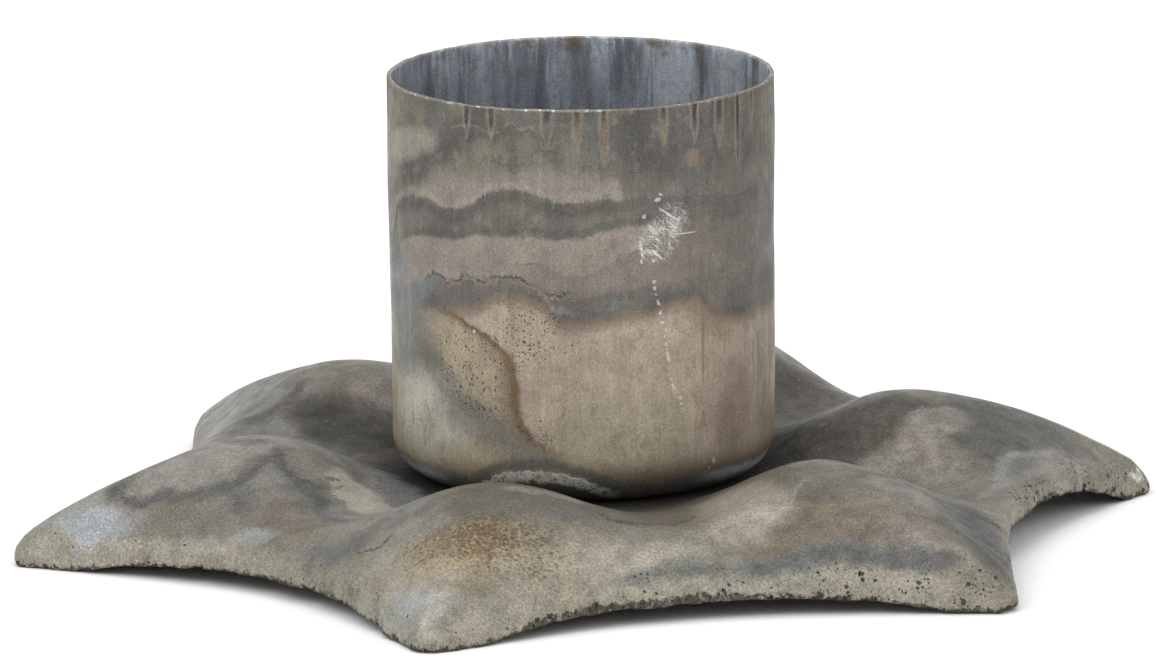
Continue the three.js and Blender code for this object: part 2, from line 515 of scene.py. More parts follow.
# patches on the star's upper face: colour, centre, half sizes, turn in degrees, softness, strength
starPatches = [
    # left point
    ("pale", (-32.8, -0.6), (2.6, 2.4), 30, 0.6, 0.5),
    ("frost", (-31.6, -2.8), (2.6, 0.9), -35, 0.5, 0.75),
    ("frost", (-26.6, -8), (1.5, 0.5), -40, 0.6, 0.5),
    ("slate", (-29.8, -1), (0.9, 1.2), 0, 0.5, 0.85),
    ("blush", (-24.6, -1.3), (4.8, 1.9), 12, 0.4, 0.9),
    ("slate", (-21.5, 0), (1.2, 0.6), -14, 0.5, 0.8),
    ("olive", (-26.2, -6.3), (3.4, 1.4), -25, 0.5, 0.85),
    ("slate", (-23.2, -7), (0.8, 1.8), 20, 0.6, 0.75),
    ("umber", (-21.4, -10.6), (1.7, 3.4), 5, 0.35, 0.9),
    ("frost", (-23.3, -10.4), (1.2, 0.6), -30, 0.7, 0.45),
    ("lichen", (-18.4, -3.6), (0.9, 1.8), 0, 0.5, 0.8),
    ("petal", (-16.1, -5.9), (1.6, 3.3), 6, 0.25, 0.9),
    ("mist", (-13.2, -3.6), (1.5, 4.4), 0, 0.5, 0.75),
    # front-left point
    ("sand", (-18.4, -25), (3, 4.8), -10, 0.6, 0.8),
    ("pale", (-18.4, -27.6), (2.2, 2.6), -14, 0.8, 0.8),
    ("frost", (-18.1, -27.9), (1.2, 1.2), -14, 0.8, 0.5),
    ("straw", (-15.8, -27.6), (1.8, 1.1), -14, 0.7, 0.5),
    ("straw", (-14.2, -25.6), (3.6, 1.7), -14, 0.7, 0.6),
    ("brown", (-12.2, -24.8), (3.2, 1.9), -14, 0.7, 0.85),
    ("beige", (-7.4, -25), (2.8, 2.2), -14, 0.6, 0.75),
    ("olive", (-14.2, -28.6), (2.4, 0.8), -14, 0.6, 0.4),
    ("sand", (-11.4, -29.6), (3.6, 1), 10, 0.6, 0.75),
    ("sand", (-7, -27), (4.8, 1.6), 10, 0.6, 0.8),
    ("sand", (-2.4, -25.9), (2.6, 0.9), 6, 0.7, 0.7),
    # front-right point
    ("walnut", (8.6, -24.6), (6.4, 2.4), -14, 0.4, 0.9),
    ("umber", (9.6, -20.4), (3, 2.2), 0, 0.6, 0.5),
    ("petal", (4.4, -21.2), (2, 3), -20, 0.7, 0.7),
    ("slate", (9.6, -22), (1.5, 0.8), 10, 0.7, 0.4),
    ("beige", (14, -22.8), (1.9, 1.2), -20, 0.6, 0.65),
    ("rosy", (14.2, -26.9), (1.9, 1.3), -14, 0.5, 0.7),
    ("shale", (18.5, -24.8), (1.8, 4.2), 0, 0.6, 0.9),
    # right point
    # dark patina plus painted shade from the cup, where this point meets it
    ("charcoal", (13.2, -1.6), (2.6, 5), 0, 0.6, 0.95),
    ("dusk", (17.8, -2.6), (4.2, 2.6), -10, 0.5, 0.9),
    ("rosy", (18.9, -6.3), (2.6, 1.7), -20, 0.2, 0.65),
    ("rosy", (19.8, -4.9), (1.3, 1.5), 20, 0.4, 0.6),
    ("moss", (25, -5), (2.3, 4.4), 10, 0.4, 0.9),
    ("blush", (21.7, -3.7), (2.2, 1.4), 10, 0.25, 0.6),
    ("olive", (21.5, -10), (0.9, 1.6), 25, 0.35, 0.85),
    ("pale", (28.4, -7.2), (2.6, 1.6), 35, 0.7, 0.2),
    ("slate", (28.4, -1.8), (3.4, 2.4), 0, 0.6, 0.6),
    ("beige", (33.2, -1.2), (1.8, 1.2), 0, 0.6, 0.6),
    # painted highlight: a white glint at the tip
    ("glint", (35, -1.5), (0.55, 0.22), 40, 0.4, 0.95),
    # back points
    ("frost", (-17.8, 24.4), (2.2, 3.6), 20, 0.8, 0.2),
    ("olive", (-16.6, 19.8), (1.6, 1.8), 30, 0.5, 0.8),
    # dark patina plus the painted shadow of the cup on the back points
    ("dusk", (-13.6, 11.9), (1.7, 2.7), 20, 0.6, 0.85),
    ("charcoal", (-12, 11), (2.6, 3.8), 30, 0.5, 0.85),
    ("umber", (-10.4, 20.6), (3.6, 2.4), 115, 0.5, 0.85),
    ("blush", (-12.6, 25.2), (2.2, 1.5), 110, 0.4, 0.6),
    ("slate", (-8.2, 24.6), (1.2, 3.2), 20, 0.6, 0.7),
    ("pale", (-15.6, 29.6), (2.2, 1.6), 120, 0.7, 0.6),
    ("umber", (-21.2, 5.4), (3, 2), 160, 0.45, 0.85),
    ("slate", (-24.8, 6.4), (1.2, 2.2), 30, 0.6, 0.7),
    ("beige", (-20.4, 16.8), (3.4, 1.4), 40, 0.6, 0.6),
    ("steel", (0.5, 24.6), (4.6, 1.2), 0, 0.6, 0.8),
    # dark patina plus the painted shadow of the cup
    ("dusk", (17.2, 10.8), (3.8, 4.8), 30, 0.5, 0.85),
    ("rosy", (14, 19), (3.2, 1.4), 50, 0.3, 0.7),
    ("straw", (13.2, 23.4), (2.4, 1.4), 55, 0.7, 0.4),
    ("brown", (10.6, 21.4), (3, 1.8), 60, 0.7, 0.6),
    ("slate", (6.8, 22.4), (1, 2.8), -30, 0.6, 0.7),
    ("frost", (18.4, 27), (2, 3), -35, 0.8, 0.45),
    ("rosy", (21.6, 5.2), (3.2, 1.8), 20, 0.35, 0.8),
    ("moss", (26, 3.6), (3, 1.6), 10, 0.5, 0.8),
]

# strokes over the patches: colour, line of places, half width, softness, strength
starStrokes = [
    ("sand", [(-35, -1.2), (-31.8, -4), (-29, -6.4), (-25, -10.3), (-22.6, -14.6)], 0.7, 0.7, 0.75),
    ("shale", [
        (-29.9, -0.8), (-28.8, -2.9), (-27, -3.8), (-25.1, -4.6), (-23.5, -5), (-22, -4.1), (-20.4, -1.9),
    ], 0.55, 0.8, 0.7),
    ("dusk", [(-30, 0.6), (-28.6, 1.1), (-26, 1.8)], 0.7, 0.8, 0.6),
    ("slate", [
        (-20.4, -1.9), (-20.7, -4), (-19.6, -5.4), (-18.9, -7.2), (-19, -9.8), (-18.3, -12.8),
    ], 0.5, 0.5, 0.9),
    ("dusk", [(-17.7, -4.5), (-16.6, -4.1)], 0.28, 0.5, 0.7),
    ("dusk", [(-17.5, -5.5), (-16.6, -5)], 0.22, 0.5, 0.6),
    ("beige", [(-22, -12.8), (-18.8, -14.6), (-16.7, -15.4), (-13.8, -14)], 0.9, 0.6, 0.8),
    ("steel", [(-21.6, -15.4), (-19.7, -17.2), (-18, -17.8)], 1, 0.6, 0.85),
    ("ash", [
        (-18.4, -17), (-16.4, -17.2), (-14, -17.8), (-12.2, -19.2), (-10, -20.5), (-7.7, -21.6),
        (-5.6, -22.5),
    ], 0.8, 0.5, 0.8),
    # painted highlight: a light strip of sheen along the top of the crest
    ("pale", [(-10.4, -18.2), (-7.7, -18.9), (-5.4, -19.6)], 0.5, 0.7, 0.55),
    ("beige", [(-4.2, -22.4), (-1.2, -23.7), (1.4, -23), (2.7, -20.5)], 0.6, 0.6, 0.5),
    ("dusk", [(-4.4, -21.4), (-1.2, -22.5), (1.4, -21.4)], 0.25, 0.7, 0.6),
    ("steel", [
        (-4.4, -28), (-2.3, -27.4), (0, -27), (2.1, -26.8), (5.9, -26.9), (9, -27), (11.9, -28),
        (15.8, -28.9),
    ], 0.7, 0.9, 0.75),
    ("shale", [(4, -26.8), (9, -27), (11.9, -28), (15.8, -28.9)], 0.5, 0.9, 0.45),
    ("sand", [(-6, -28.6), (1.4, -27.9), (6, -28.2), (9.9, -28.8), (15, -30.4)], 0.5, 0.6, 0.95),
    ("dusk", [(12, -19.6), (15.4, -19.8), (17, -21.3), (20.6, -22.2)], 0.22, 0.6, 0.85),
    ("petal", [(2.2, -22.4), (4.4, -19.8), (6.2, -18)], 0.2, 0.9, 0.3),
    ("petal", [(3.2, -23.4), (5.6, -20.6), (7.6, -19)], 0.2, 0.9, 0.3),
    ("petal", [(4.6, -24), (7, -21.8), (9.4, -20)], 0.16, 0.9, 0.3),
    ("frost", [(22.3, -12.6), (23.6, -10.6), (25.4, -8.2), (27.2, -5.6), (29.5, -3.8)], 0.5, 0.9, 0.3),
    ("dusk", [(-18.7, 14), (-16.5, 14.6), (-13.5, 17.5)], 0.7, 0.6, 0.75),
    ("slate", [(-13.5, 20), (-12.4, 22.6), (-10.6, 24.4), (-7.6, 25.2)], 0.45, 0.5, 0.75),
    ("slate", [(8, 18.6), (11.4, 18.2), (14.6, 20), (16.8, 23.4)], 0.45, 0.5, 0.75),
    ("frost", [(22.6, 12.4), (24.6, 10), (27.4, 6.2)], 0.3, 0.8, 0.5),
    ("sand", [(-6, 26.6), (0, 26), (5.4, 26.4)], 0.6, 0.6, 0.6),
    ("pore", [(-19.2, -18.8), (-18.3, -19.6), (-16.8, -20.3)], 0.1, 0.5, 0.7),
    ("pore", [(-19.8, -24.9), (-19.4, -24.3)], 0.3, 0.6, 0.8),
    ("pore", [(-20.5, -21.5), (-20.1, -21)], 0.25, 0.6, 0.7),
    ("slate", [(-18.9, -30), (-18.2, -30.3)], 0.35, 0.6, 0.7),
]


def starMetal():
    tint = starPaint
    material, bench = startMaterial("starMetal")
    place = millimetres(bench)
    split = bench.node("ShaderNodeSeparateXYZ", sockets={"Vector": place})
    edgeRoom = bench.node("ShaderNodeAttribute", {"attribute_name": "edgeRoom"}, output="Fac")
    topSide = bench.node("ShaderNodeAttribute", {"attribute_name": "topSide"}, output="Fac")
    cloud = lumps(place, 1.5, 4, 0.65)
    slow, quick, fine = wander(place, 5, 1.5), wander(place, 1.3, 0.55), wander(place, 0.3, 0.3)
    chart = [split.other(axis) + slow[turn] + quick[turn] + fine[turn] for turn, axis in enumerate("XY")]
    away = chart[0] * chart[0] + chart[1] * chart[1]
    radius = away.math("SQRT", away)

    # broad mottling under everything, darker in the dish round the cup: dark patina there plus painted
    # shade from the cup
    flat = squeezed(place, (1, 1, 2))
    colour = paint(tint["ash"], tint["olive"], fade(lumps(place, 8, 4, 0.6), 0.4, 0.56))
    colour = paint(colour, tint["umber"], fade(lumps(flat, 6, 4, 0.6), 0.48, 0.6, 0.8))
    colour = paint(colour, tint["steel"], fade(lumps(flat, 4.4, 4, 0.6), 0.56, 0.66, 0.7))
    colour = paint(colour, tint["beige"], fade(edgeRoom + (cloud - 0.5) * 6, 4.4, 1, 0.6))
    # painted shade round the cup's foot, over the dish's dark patina
    colour = paint(colour, tint["dusk"], fade(radius, 17, 13.5, 0.75))
    colour = paint(colour, tint["charcoal"], fade(radius, 14.6, 11.6, 0.9))
    colour = paintLayers(colour, tint, spotLayers(chart, starPatches))
    colour = paintLayers(colour, tint, strokeLayers(chart, starStrokes))

    # the granular lip along the edge, and its dark, crumbly foot: dark patina plus painted shade low on the
    # edge and underneath
    lipRoom = edgeRoom + (lumps(place, 2.5, 3) - 0.5) * 1.4
    lip = fade(lipRoom, 0.9, 0.1)
    colour = paint(colour, tint["sand"], lip * fade(lumps(place, 1.6, 4, 0.7), 0.36, 0.6, 0.8))
    front = spot(chart, (-2.5, -28), (8, 5), 0, 0.5, 0.26)
    crumbly = lumps(place, 0.4, 3, 0.7)
    foot = fade(topSide - front + (cloud - 0.5) * 0.6 + (crumbly - 0.5) * 0.7, 0.26, 0.12)
    # painted shade under the plate and low on its edge, over dark patina
    colour = paint(colour, tint["under"], foot * 0.9)
    colour = paint(colour, tint["pore"], foot * fade(crumbly, 0.47, 0.37, 0.8))
    colour = paint(colour, tint["sand"], foot * fade(crumbly, 0.54, 0.64, 0.7))

    # grain: fine sand, straw grains, crumbs, freckles and pores, and painted glints
    sand = lumps(place, 0.15, 2, 0.7)
    grit = lumps(place, 0.26, 2, 0.6)
    burnt = spot(chart, (-12.8, -25.1), (4.6, 2.5), -14, 0.7)
    colour = paint(colour, tint["straw"], burnt * fade(grit, 0.52, 0.62, 0.65))
    colour = paint(colour, tint["bark"], burnt * fade(grit, 0.47, 0.37, 0.7))
    colour = shade(colour, fade(cloud, 0.3, 0.7), 0.86, 1.14)
    colour = shade(colour, fade(sand, 0.36, 0.64), 0.77, 1.23)
    crumbs = fade(lumps(place, 0.3, 2, 0.6), 0.64, 0.72)
    colour = paint(colour, tint["crumb"], crumbs * (lip * 0.5 + foot * 0.2 + 0.2))
    # painted highlights: white glints scattered over a few places
    paintedGlints = stroke(chart, [(10, -24.1), (11.9, -26)], 0.7, 0.6)
    paintedGlints = paintedGlints + spot(chart, (-31, -4.4), (3.4, 1.6), -50, 0.5)
    paintedGlints = paintedGlints + spot(chart, (-13.6, -2.4), (1.4, 3.4), 0, 0.6)
    colour = paint(colour, tint["glint"], scatter(place, 0.26, paintedGlints * 0.35) * 0.6)
    porous = fade(lipRoom, 2.6, 0.2) * fade(lumps(place, 2.2, 3), 0.38, 0.58)
    porous = porous * mixValue(0.4, 1, fade(chart[0], -8, 8))
    pores = scatter(place, 0.42, porous * 0.66) + scatter(place, 0.2, porous * 0.6 + foot * 0.45)
    freckles = scatter(place, 0.45, fade(cloud, 0.4, 0.6, 0.1) + 0.02)
    colour = paint(colour, tint["pore"], pores * 0.85)
    colour = paint(colour, tint["pore"], freckles * 0.6)
    for centre in ((-12.4, -17.9), (-14.2, -1)):
        colour = paint(colour, tint["rust"], spot(chart, centre, (0.5, 0.3), -14, 0.7, 0.7))

    roughness = mixValue(0.52, 0.34, fade(cloud, 0.35, 0.65)) + pores * 0.2
    roughness = roughness + lip * 0.1 + fade(radius, 16, 12, 0.35)
    relief = sand * 0.5 + cloud * 0.8 - pores * 1.6 - freckles * 0.6 + crumbs * 0.3
    finishMaterial(bench, colour, roughness, relief, 0.05, {"Metallic": 0.45, "Specular IOR Level": 0.35})
    return material


makeStar(starMetal())


# The candle cup

cupShape = {
    "wall": 0.3,
    "corner": 2.7,  # outside radius between wall and floor
    "draft": 0.15,
    "rimRadius": cupHigh.x,
    "base": cupLow.z,
    "rim": cupHigh.z,
    "holeRadius": 2.15,
    "lipRound": 0.1,
    "ringStep": 0.34,
    "columns": 288,
    "columnCuts": 4,
    "dents": [(9, 0.1), (3, 0.025)],  # size across and depth
    "dentOnset": 0.5,  # how far over the foot they start
    "rimWave": [(6, 0.07), (1.2, 0.05)],  # how the rim's height wanders
    "rimReach": 3,
    "scuffPlace": 5,  # how far right of the photographed front the scuffs lie
}


def photoFront():  # the heading of the side that faces the camera
    return math.radians(cameraPlace["heading"] - 90)


def cupProfile(bm, inside):
    shape = cupShape
    wall, bend, lip = shape["wall"], shape["corner"], shape["lipRound"]
    footRadius = shape["rimRadius"] - shape["draft"] - bend
    bendHeight = shape["base"] + bend
    lipHeight = shape["rim"] - lip
    outer = [(shape["holeRadius"], shape["base"])]
    outer += corner(footRadius, bendHeight, bend, -90, 0, 14)
    outer += corner(shape["rimRadius"] - lip, lipHeight, lip, 0, 90, 3)
    inner = corner(shape["rimRadius"] - wall + lip, lipHeight, lip, 90, 180, 3)
    inner += corner(footRadius, bendHeight, bend - wall, 0, -90, 12)
    inner += [(shape["holeRadius"], shape["base"] + wall)]
    edges = drawProfile(bm, outer + inner, closed=True)
    bm.verts.ensure_lookup_table()
    for vert in bm.verts[len(outer):]:
        vert[inside] = 1
    subdivideLong(bm, edges, shape["ringStep"])


def makeCup(material):
    shape = cupShape
    bm = bmesh.new()
    inside = bm.verts.layers.float.new("inside")
    cupProfile(bm, inside)
    spinProfile(bm, shape["columns"] // shape["columnCuts"], shape["columnCuts"] - 1)
    for vert in bm.verts:
        heading = math.atan2(vert.co.y, vert.co.x)
        x = shape["rimRadius"] * math.cos(heading)
        y = shape["rimRadius"] * math.sin(heading)
        free = between(vert.co.z - shape["base"], shape["dentOnset"], shape["corner"])
        dent = sum(depth * noise.noise(Vector((x, y, vert.co.z)) / size) for size, depth in shape["dents"])
        nearRim = between(vert.co.z, shape["rim"] - shape["rimReach"], shape["rim"]) ** 2
        wave = sum(depth * noise.noise(Vector((x, y, 0)) / size) for size, depth in shape["rimWave"])
        vert.co.xy *= 1 + free * dent / shape["rimRadius"]
        vert.co.z += nearRim * wave
    finishPiece(bm, "cup", "candle_cup", material)


cupPaint = {
    "slate": tone(106, 104, 99),
    "smoke": tone(93, 91, 88),
    "dusk": tone(86, 86, 87),
    "moss": tone(124, 120, 105),
    "umber": tone(106, 99, 92),
    "linen": tone(160, 155, 142),
    "pink": tone(141, 133, 125),
    "blush": tone(155, 147, 138),
    "taupe": tone(146, 137, 128),
    "mauve": tone(126, 117, 110),
    "tide": tone(105, 101, 97),
    "tideBlue": tone(118, 128, 133),
    "fawn": tone(128, 114, 98),
    "beige": tone(168, 154, 139),
    "cream": tone(171, 162, 143),
    "dun": tone(157, 144, 130),
    "sepia": tone(122, 107, 92),
    "straw": tone(160, 149, 127),
    "brown": tone(110, 88, 62),
    "celadon": tone(182, 182, 168),
    "mist": tone(128, 132, 133),
    "murk": tone(98, 99, 99),
    "chalk": tone(198, 200, 192),
    "pore": tone(58, 50, 43),
    "tan": tone(130, 115, 99),
    "honey": tone(138, 122, 103),
    "citrine": tone(152, 146, 116),
    "soot": tone(60, 56, 53),
    "scuff": tone(214, 213, 208),
    "reflectionBlue": tone(186, 194, 204),
    "rust": tone(150, 106, 70),
    "inside": tone(158, 165, 174),
    "insideDeep": tone(112, 116, 124),
    "flare": tone(196, 204, 212),
}

# lines drawn round the cup: distance along the wall from the photographed front, then height
cupLines = {
    "pinkTop": [
        (-37, 23.4), (-24, 22.2), (-15.6, 21.9), (-11.2, 23.4), (-7.6, 24.3), (-3, 24.7), (1.8, 24.3),
        (14, 23.9), (26, 24.4), (37, 23.4)],
    "pinkFoot": [
        (-37, 22.3), (-24, 21), (-17, 19.2), (-15.6, 20.4), (-13.6, 22.2), (-11.2, 22.5), (-9.4, 22),
        (-6.4, 23.2), (-4.3, 23.7), (-1.6, 23), (1.7, 23.2), (14, 22.6), (26, 23.2), (37, 22.3)],
    "taupeTop": [
        (-37, 20.4), (-24, 19.4), (-17, 17.4), (-14.5, 19), (-12, 19.9), (-8.8, 20.2), (-6.6, 20.7),
        (-1.2, 20.8), (3.9, 21.5), (12, 21), (24, 20.2), (37, 20.4)],
    "tideTop": [
        (-37, 17.6), (-24, 16.8), (-15, 16.4), (-11.6, 16.8), (-10.2, 17.7), (-8.8, 17.5), (-7.6, 18.1),
        (-6.8, 17.7), (-5.2, 18.2), (-3.6, 17.9), (-2.2, 17.3), (-0.8, 17.2), (2.1, 17.4), (7.3, 17.6),
        (14, 17), (26, 18.1), (37, 17.6)],
    "tideFoot": [
        (-37, 16.2), (-24, 15.2), (-15, 14.4), (-11.4, 15.2), (-9, 15.8), (-6.6, 16.4), (-5, 17.1),
        (-3.4, 16.9), (-2.1, 16.2), (-1, 15.5), (1.5, 15.9), (3.9, 16), (7, 16.5), (8.2, 15.9),
        (10.1, 15), (16, 14.8), (26, 16.6), (37, 16.2)],
    "wave": [
        (-6, 18.4), (-4.2, 19.1), (-2.6, 19.2), (-1, 18.5), (0.4, 18.7), (2.2, 19.3), (4.6, 20.2),
        (7, 20.6)],
    "squiggle": [
        (-9, 27), (-7, 27.5), (-5.6, 27.2), (-5, 27.4), (-4.4, 27.9), (-3.7, 27.5), (-3.2, 27.7),
        (-2.8, 27.5), (-2.5, 26.7), (-2.1, 26.4), (-1.6, 26.8)],
    "crustTop": [(-8, 4.7), (-6.5, 5.3), (-5, 5.9), (-2.4, 6.1), (-0.4, 5.7), (1.4, 5), (3.4, 4.3)],
    # these two run up the wall: height, then distance along
    "brownArc": [
        (6.4, 2), (7.1, -0.7), (7.5, -2.4), (8.3, -3.7), (9.6, -4.4), (11.6, -4.5), (13.2, -5.1),
        (14.1, -6.2), (15, -8), (15.7, -9.8)],
    "chips": [
        (5.8, 8.9), (6.5, 9.1), (9.3, 6.4), (10.3, 6.3), (11.4, 5.7), (13.2, 5.4), (15.8, 5),
        (17.9, 4.5), (19.5, 4.6)],
}

# patches on the wall, grouped by the layers they lie among; rows as for the star
cupSpots = {
    "upper": [
        ("linen", (-13.4, 25.5), (3, 0.9), 14, 0.45, 0.75),
        ("linen", (-16.4, 24.6), (1.6, 1.6), 0, 0.6, 0.5),
    ],
    "pink": [("blush", (2.2, 23.5), (0.35, 0.8), 12, 0.6, 0.7)],
    "taupe": [("mauve", (7.2, 19.6), (2.2, 2), 0, 0.5, 0.6)],
    "tide": [("tideBlue", (-12.2, 16.4), (1.6, 0.5), 30, 0.7, 0.75)],
    "lower": [
        ("sepia", (10.8, 8.8), (1.3, 2.6), -8, 0.7, 0.7),
        ("sepia", (8.8, 15), (1.6, 0.8), -30, 0.7, 0.6),
    ],
    "corner": [
        ("murk", (-12.6, 12.9), (2, 3.4), 24, 0.6, 0.7),
        ("celadon", (-11.6, 8.9), (3.4, 2.5), 0, 0.5, 0.9),
        ("murk", (-6.4, 8.5), (3.4, 1.1), -24, 0.7, 0.6),
        ("murk", (-9.4, 11.2), (2.6, 0.8), -35, 0.7, 0.5),
        ("straw", (-7.4, 6.9), (2.6, 0.6), 4, 0.7, 0.6),
    ],
    "runs": [("honey", (7.2, 25.4), (0.42, 0.5), -20, 0.6, 0.75)],
}

# runs from the rim: distance along, lowest height, half width, height where soot turns to colour, colour
cupRuns = [
    (-7.5, 26.9, 0.2, 26.6, "slate"), (-5.7, 26.9, 0.22, 27.4, "moss"), (-2.1, 26.6, 0.3, 28.2, "slate"),
    (-0.2, 26.4, 0.24, 28.2, "tan"), (1.4, 25.4, 0.2, 28.1, "tan"), (5.2, 26.4, 0.22, 27.9, "honey"),
    (7.4, 26.4, 0.22, 27.6, "umber"), (9.4, 25.8, 0.3, 27.4, "tan"), (11.2, 24.3, 0.2, 26.8, "dusk"),
    (12.8, 26.4, 0.18, 27.8, "tan"), (14.8, 23.2, 0.2, 24.6, "dusk"), (17.2, 25, 0.2, 26.4, "umber"),
    (19.6, 25.6, 0.24, 27.6, "tan"), (23.5, 24.8, 0.2, 26, "dusk"), (25.2, 26.6, 0.2, 27.9, "honey"),
    (28, 26, 0.28, 27.8, "tan"), (33, 25.4, 0.2, 26.8, "dusk"), (-20, 26.4, 0.22, 27.2, "moss"),
    (-23.4, 27, 0.18, 27.7, "tan"), (-26, 25.2, 0.24, 27.6, "tan"), (-29.5, 26, 0.2, 26.6, "dusk"),
    (-34, 26.2, 0.22, 27.6, "tan"),
]

# bare scrapes: distance along, height, half length, half width, turn in degrees
cupChips = [
    (4.8, 23, 0.2, 0.12, 10), (5, 23.3, 0.14, 0.08, -30), (3.9, 22, 0.13, 0.1, 60),
    (5.4, 22.1, 0.6, 0.07, -35), (6.8, 20.7, 0.62, 0.05, 0), (4.7, 19.6, 0.42, 0.08, -40),
    (3.7, 20, 0.08, 0.5, 8), (3.7, 19.2, 0.07, 0.14, 0), (4.5, 19.2, 0.1, 0.1, 0),
    (-7.2, 14.6, 0.1, 0.1, 0), (8.9, 6.1, 0.12, 0.16, 20), (8.6, 5.7, 0.06, 0.1, 0),
]


def cupWall(bench):  # what the layers share: places on the wall, and noises that break up every edge
    place = millimetres(bench)
    turned = bench.node("ShaderNodeMapping", sockets={"Vector": place, "Rotation": (0, 0, -photoFront())})
    split = bench.node("ShaderNodeSeparateXYZ", sockets={"Vector": turned})
    along = split.math("ARCTAN2", split.other("Y"), split) * cupShape["rimRadius"]
    height = split.other("Z")
    drift = (lumps(place, 3.4, 4, 0.6) - 0.5) * 0.9
    crumble = (lumps(place, 0.5, 3, 0.65) - 0.5) * 0.45
    fringe = lumps(squeezed(place, (1, 1, 0.1)), 0.17, 2, 0.6) - 0.5
    level = height + drift + crumble
    return SimpleNamespace(
        place=place,
        along=along,
        height=height,
        drift=drift,
        crumble=crumble,
        fringe=fringe,
        level=level,
        chart=(along + drift + crumble, level),
        streaks=lumps(squeezed(place, (1, 1, 0.06)), 0.5, 3, 0.65),
        cloud=lumps(place, 2.2, 4, 0.65),
        front=fade(abs(along), 36, 24),  # fades out left and right before they meet at the back
    )


def upperWallLayers(wall):  # grey, mossy on the left and brown on the right, over smoke
    left = fade(wall.along, 4, -4) * wall.front
    right = fade(wall.along, 2, 9) * wall.front
    yield "slate", fade(lumps(wall.place, 5.5, 4, 0.6), 0.38, 0.58)
    yield "moss", fade(lumps(wall.place, 3.2, 4, 0.65), 0.47, 0.62, 0.75) * left
    yield "umber", fade(lumps(wall.place, 3.7, 4, 0.65), 0.42, 0.58, 0.85) * right
    blotch = lumps(squeezed(wall.place, (1, 1, 0.45)), 1.7, 4, 0.65)
    yield "dusk", fade(blotch, 0.5, 0.62, 0.7) * right
    yield from spotLayers(wall.chart, cupSpots["upper"])

    # the yellow squiggle under the rim, and the shade below it
    line = wall.height + wall.crumble * 0.8 - drawnLine(wall.along, cupLines["squiggle"])
    reach = fade(abs(wall.along + 5), 4.2, 3)
    yield "citrine", fade(abs(line), 0.16, 0.02) * reach * fade(wall.cloud, 0.36, 0.5, 0.7)
    yield "smoke", fade(line, 0.3, -0.1) * fade(line, -1, -0.2, 0.5) * reach


def bandLayers(wall):  # the pink, slate and taupe bands across the middle
    along, level, fringe = wall.along, wall.level, wall.fringe
    reach = fade(along, 2.6, 1.6) * fade(along, -30, -20)
    haze = fade(level, 27, 24.4) * fade(abs(along + 2.5), 7, 3)
    yield "pink", haze * fade(wall.streaks, 0.35, 0.62, 0.4)
    foot = level + fringe * 0.4 - drawnLine(along, cupLines["pinkFoot"])
    top = level + fringe * 2 - drawnLine(along, cupLines["pinkTop"])
    band = fade(foot, -0.1, 0.15) * fade(top, 0.8, -0.5)
    yield "pink", band * mixValue(0.25, 0.95, reach)
    yield "blush", fade(abs(foot - 0.3), 0.4, 0.05, 0.5) * reach
    yield from spotLayers(wall.chart, cupSpots["pink"])
    slate = fade(foot, 0.1, -0.2)
    yield "slate", slate * 0.8
    mossy = fade(lumps(wall.place, 2.6, 4, 0.6), 0.48, 0.6, 0.5) * fade(along, 6, 0) * wall.front
    yield "moss", slate * mossy
    yield "smoke", fade(abs(foot + 0.45), 0.7, 0.05) * mixValue(0.3, 0.8, reach)

    top = level + fringe * 0.35 - drawnLine(along, cupLines["taupeTop"])
    left = fade(along, 9, 3.4) * wall.front
    yield "smoke", fade(abs(top - 0.3), 0.5, 0.05) * mixValue(0.2, 0.6, left)
    yield "taupe", fade(top, 0.12, -0.18) * mixValue(0.12, 0.95, left)
    yield from spotLayers(wall.chart, cupSpots["taupe"])
    line = level + wall.crumble - drawnLine(along, cupLines["wave"])
    reach = fade(abs(along - 0.6), 6, 4)
    yield "mauve", fade(line, 0.1, -0.25, 0.7) * reach
    yield "tide", fade(abs(line), 0.13, 0.03, 0.8) * reach * fade(wall.cloud, 0.4, 0.55)
    flecks = scatter(squeezed(wall.place, (0.4, 0.4, 1)), 0.3, 0.04)
    yield "soot", flecks * fade(top, 0.1, -0.3, 0.7) * left


def tideLayers(wall):  # the grey tide line, with its dark and yellow upper edge
    along, cloud = wall.along, wall.cloud
    level = wall.level + wall.fringe * 0.25
    top = level + wall.crumble * 1.4 - drawnLine(along, cupLines["tideTop"])
    foot = level - drawnLine(along, cupLines["tideFoot"])
    strength = mixValue(0.75, 0.95, fade(along, 4, -2) * wall.front)
    yield "tide", fade(top, 0.5, -0.3) * strength
    left = fade(along, 0.5, -1.5) * fade(along, -14, -11.5)
    yield "soot", fade(abs(top - 0.1), 0.13, 0.02) * left * fade(cloud, 0.4, 0.56, 0.8)
    yield "citrine", fade(abs(top + 0.1), 0.12, 0.02) * left * fade(cloud, 0.62, 0.45, 0.55)
    yield "citrine", fade(abs(foot - 0.75), 0.3, 0.02, 0.3) * fade(abs(along + 2.6), 2.4, 0.6)
    yield "tideBlue", spot(wall.chart, (0.8, 16.5), (2, 0.24), 8, 0.8, 0.7) * fade(cloud, 0.4, 0.6)
    yield from spotLayers(wall.chart, cupSpots["tide"])
    right = fade(along, 3, 5) * wall.front
    yield "dusk", fade(abs(foot - 0.35), 0.6, 0.1, 0.5) * right
    yield "fawn", fade(foot, 0.35, -0.2, 0.85)


